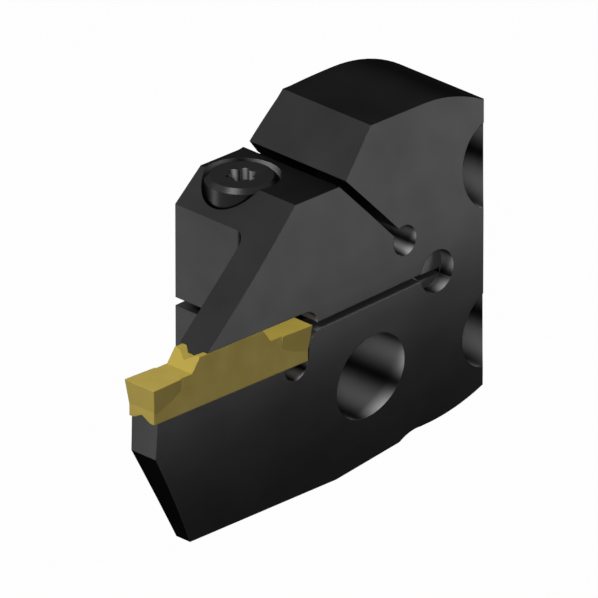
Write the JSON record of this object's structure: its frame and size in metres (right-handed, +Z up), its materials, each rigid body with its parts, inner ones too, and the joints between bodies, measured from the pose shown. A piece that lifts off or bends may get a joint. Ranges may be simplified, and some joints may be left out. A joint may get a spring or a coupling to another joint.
{
  "type": "face grooving tool holder",
  "caption": "Round-coupling head for face grooving: curved support blade, clamping finger with screw and a two-ended grooving insert.",
  "frame": {"origin": "centre of the round coupling on its flat mating face", "axes": "+X away from the bar along the coupling's axis, -Y towards the cutting edge at the height of the centre, +Z up from the blade to the clamp screw"},
  "size_m": [0.018, 0.065, 0.0426],
  "materials": {
    "black_steel": "black oxide, ground",
    "screw_steel": "black oxide",
    "coated_carbide": "gold coating, fine ground"
  },
  "bodies": {
    "holder": {"holder_body": "black_steel"},
    "screw": {"clamp_screw": "screw_steel"},
    "insert": {"cutting_insert": "coated_carbide"}
  },
  "joints": [
    {"name": "screw_turn", "type": "hinge", "parent": "holder", "child": "screw", "pos_m": [0.0064, -0.0198, 0.0147], "axis": [0, 0, 1], "range_deg": [0, 540]},
    {"name": "insert_slide", "type": "slide", "parent": "holder", "child": "insert", "axis": [0, -1, 0], "range_m": [0, 0.025]}
  ]
}
